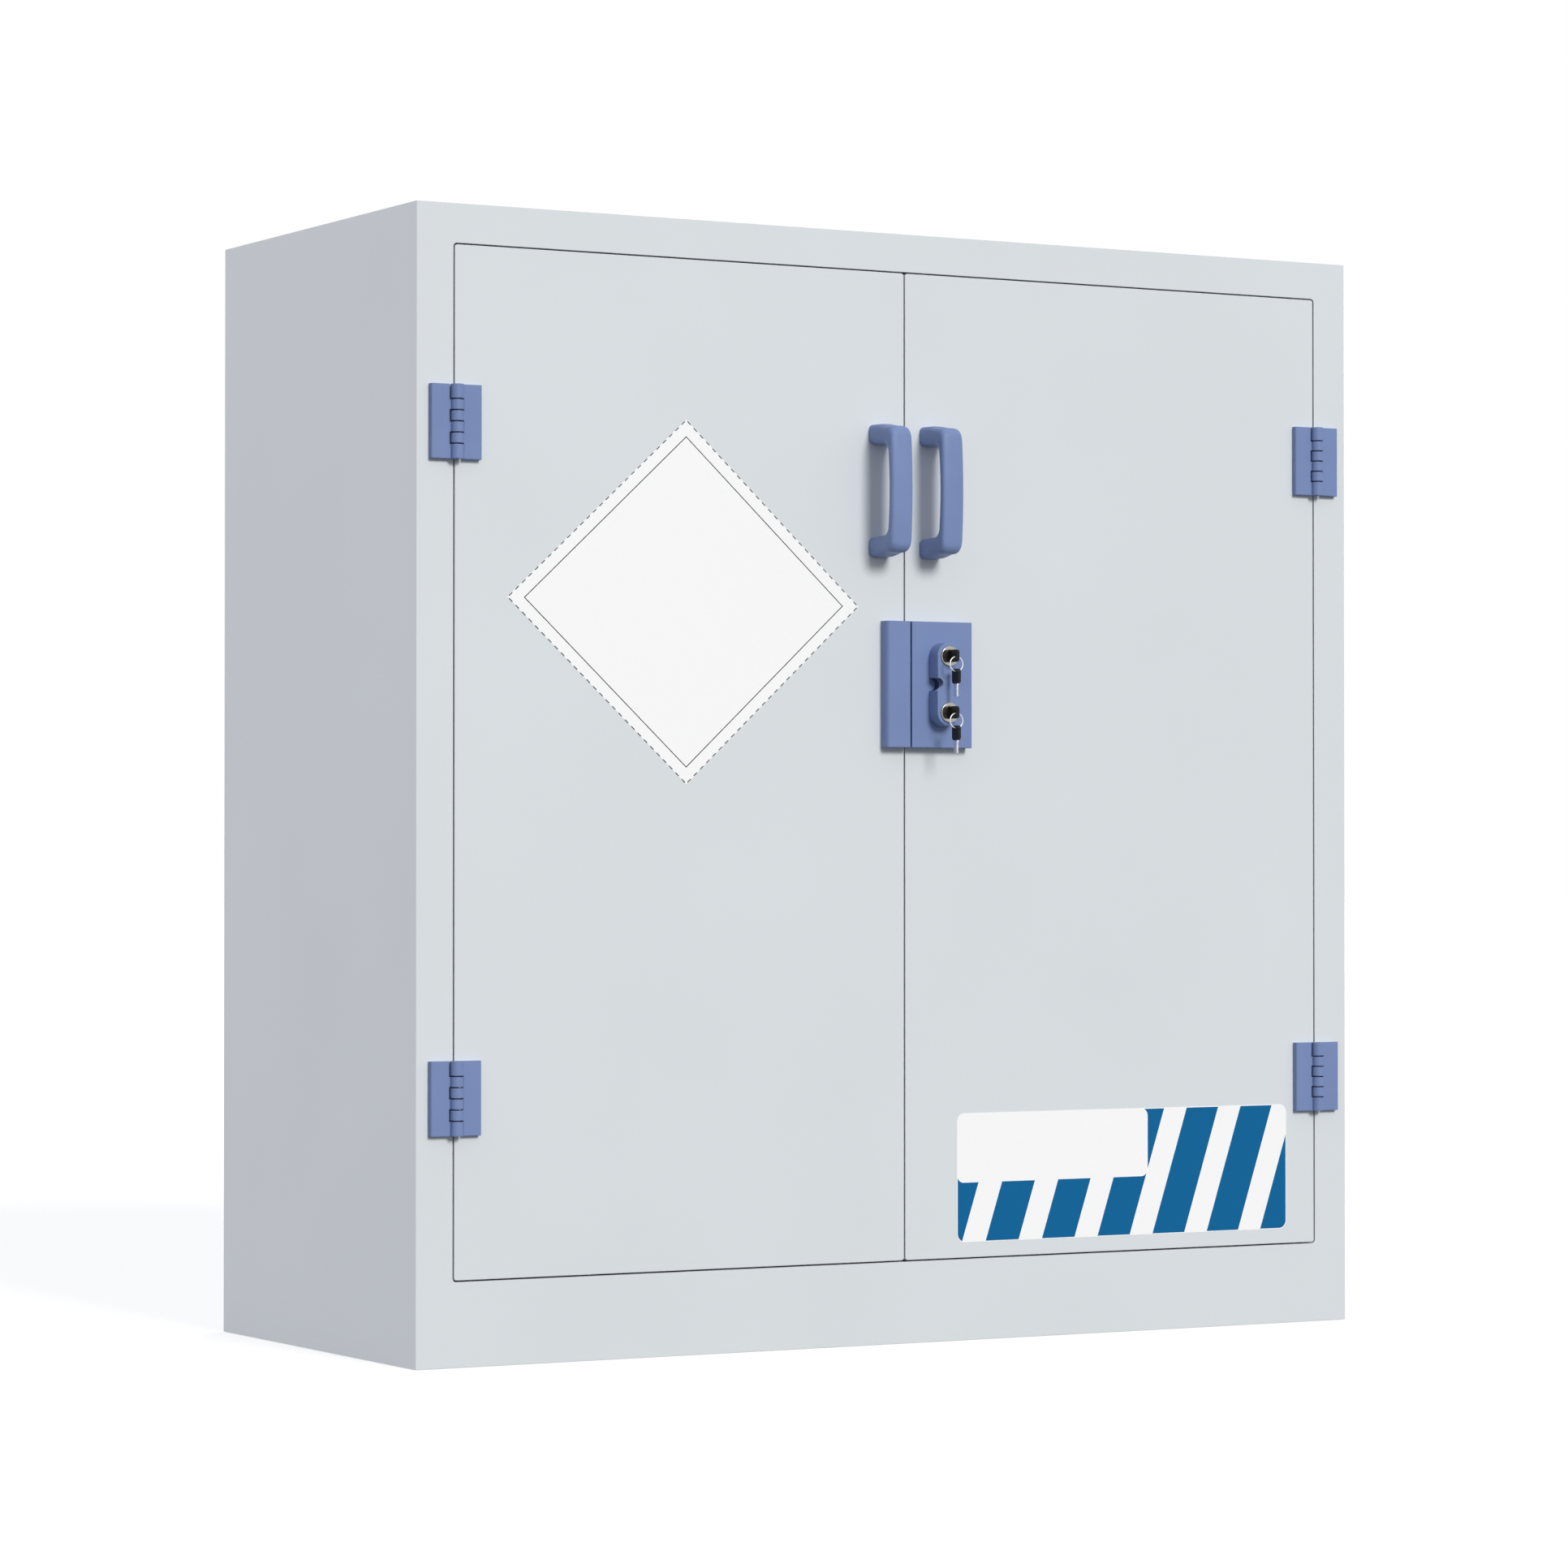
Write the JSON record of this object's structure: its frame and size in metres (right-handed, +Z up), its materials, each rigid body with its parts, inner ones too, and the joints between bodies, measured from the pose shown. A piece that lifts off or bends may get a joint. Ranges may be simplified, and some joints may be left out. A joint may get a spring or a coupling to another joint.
{
  "type": "two-door corrosives cabinet",
  "caption": "Two-door storage cabinet of welded polypropylene sheet with a shelf, a spill tray, moulded hinges and pull handles, and a keyed double lock with sliding bolts.",
  "frame": {"origin": "centre of the cabinet's footprint, on the floor, at the underside of the middle floor bearer", "axes": "+X to the cabinet's right seen from the front, +Y to the back, +Z up; the doors face -Y"},
  "size_m": [1.09, 0.5104, 1.12],
  "materials": {
    "pp_grey": "satin polypropylene sheet",
    "pp_grey_inside": "satin polypropylene sheet",
    "pp_blue": "satin moulded polypropylene",
    "steel": "zinc plated",
    "chrome": "polished",
    "lock_face": "dark nickel",
    "key_metal": "nickel plated",
    "key_plastic": "black moulded",
    "label_white": "printed film",
    "label_blue": "printed film",
    "label_black": "printed film"
  },
  "bodies": {
    "cabinet": {"left_side_panel": "pp_grey", "right_side_panel": "pp_grey", "top_panel": "pp_grey", "floor_panel": "pp_grey_inside", "back_panel": "pp_grey", "front_frame": "pp_grey", "floor_bearers": "pp_grey_inside", "weld_beads": "pp_grey_inside", "door_stop_frame": "pp_grey_inside", "shelf_standards": "pp_grey_inside", "shelf_clips": "pp_blue", "left_upper_frame_leaf": "pp_blue", "left_lower_frame_leaf": "pp_blue", "right_upper_frame_leaf": "pp_blue", "right_lower_frame_leaf": "pp_blue", "hinge_pins": "pp_blue", "frame_hinge_screws": "steel", "door_catches": "pp_grey"},
    "left_door": {"left_door_panel": "pp_grey", "left_door_frame": "pp_grey_inside", "left_upper_door_leaf": "pp_blue", "left_lower_door_leaf": "pp_blue", "left_handle": "pp_blue", "keeper_box": "pp_blue", "left_door_screws": "steel", "left_strike_plate": "steel"},
    "right_door": {"right_door_panel": "pp_grey", "right_door_frame": "pp_grey_inside", "right_upper_door_leaf": "pp_blue", "right_lower_door_leaf": "pp_blue", "right_handle": "pp_blue", "lock_case": "pp_blue", "lock_boss": "pp_blue", "upper_lock_barrel": "chrome", "lower_lock_barrel": "chrome", "lock_nuts": "steel", "right_door_screws": "steel", "right_strike_plate": "steel"},
    "shelf": {"shelf": "pp_grey"},
    "spill_tray": {"spill_tray": "pp_grey"},
    "upper_plug": {"upper_lock_plug": "lock_face", "upper_lock_crank": "steel", "upper_crank_screw": "steel"},
    "upper_bolt": {"upper_bolt": "steel"},
    "upper_key": {"upper_key_blade": "key_metal", "upper_key_bow": "key_plastic"},
    "upper_ring": {"upper_key_ring": "key_metal"},
    "upper_spare_key": {"upper_spare_blade": "key_metal", "upper_spare_bow": "key_plastic"},
    "lower_plug": {"lower_lock_plug": "lock_face", "lower_lock_crank": "steel", "lower_crank_screw": "steel"},
    "lower_bolt": {"lower_bolt": "steel"},
    "lower_key": {"lower_key_blade": "key_metal", "lower_key_bow": "key_plastic"},
    "lower_ring": {"lower_key_ring": "key_metal"},
    "lower_spare_key": {"lower_spare_blade": "key_metal", "lower_spare_bow": "key_plastic"}
  },
  "joints": [
    {"name": "left_door_swing", "type": "hinge", "parent": "cabinet", "child": "left_door", "pos_m": [-0.5052, -0.237, 0.58375], "axis": [0, 0, -1], "range_deg": [0, 175]},
    {"name": "right_door_swing", "type": "hinge", "parent": "cabinet", "child": "right_door", "pos_m": [0.5052, -0.237, 0.58375], "axis": [0, 0, 1], "range_deg": [0, 175]},
    {"name": "shelf_lift", "type": "slide", "parent": "cabinet", "child": "shelf", "axis": [0, 0, 1], "range_m": [0, 0.05]},
    {"name": "spill_tray_lift", "type": "slide", "parent": "cabinet", "child": "spill_tray", "axis": [0, 0, 1], "range_m": [0, 0.06]},
    {"name": "upper_plug_turn", "type": "hinge", "parent": "right_door", "child": "upper_plug", "pos_m": [0.0345, -0.25, 0.693], "axis": [0, -1, 0], "range_deg": [0, 90]},
    {"name": "upper_bolt_slide", "type": "slide", "parent": "right_door", "child": "upper_bolt", "axis": [-1, 0, 0], "range_m": [0, 0.01131]},
    {"name": "upper_key_pull", "type": "slide", "parent": "upper_plug", "child": "upper_key", "axis": [0, -1, 0], "range_m": [0, 0.018]},
    {"name": "upper_ring_swing", "type": "hinge", "parent": "upper_key", "child": "upper_ring", "pos_m": [0.0345, -0.2742, 0.692], "axis": [-1, 0, 0], "range_deg": [-8, 110]},
    {"name": "upper_spare_key_swing", "type": "hinge", "parent": "upper_ring", "child": "upper_spare_key", "pos_m": [0.0345, -0.2742, 0.6846], "axis": [0, -1, 0], "range_deg": [-90, 90]},
    {"name": "lower_plug_turn", "type": "hinge", "parent": "right_door", "child": "lower_plug", "pos_m": [0.0345, -0.25, 0.636], "axis": [0, -1, 0], "range_deg": [0, 90]},
    {"name": "lower_bolt_slide", "type": "slide", "parent": "right_door", "child": "lower_bolt", "axis": [-1, 0, 0], "range_m": [0, 0.01131]},
    {"name": "lower_key_pull", "type": "slide", "parent": "lower_plug", "child": "lower_key", "axis": [0, -1, 0], "range_m": [0, 0.018]},
    {"name": "lower_ring_swing", "type": "hinge", "parent": "lower_key", "child": "lower_ring", "pos_m": [0.0345, -0.2742, 0.635], "axis": [-1, 0, 0], "range_deg": [-8, 110]},
    {"name": "lower_spare_key_swing", "type": "hinge", "parent": "lower_ring", "child": "lower_spare_key", "pos_m": [0.0345, -0.2742, 0.6276], "axis": [0, -1, 0], "range_deg": [-90, 90]}
  ],
  "couplings": [
    {"joint": "upper_plug_turn", "follows": "upper_bolt_slide", "rad_per_m": 138.84},
    {"joint": "lower_plug_turn", "follows": "lower_bolt_slide", "rad_per_m": 138.84}
  ]
}
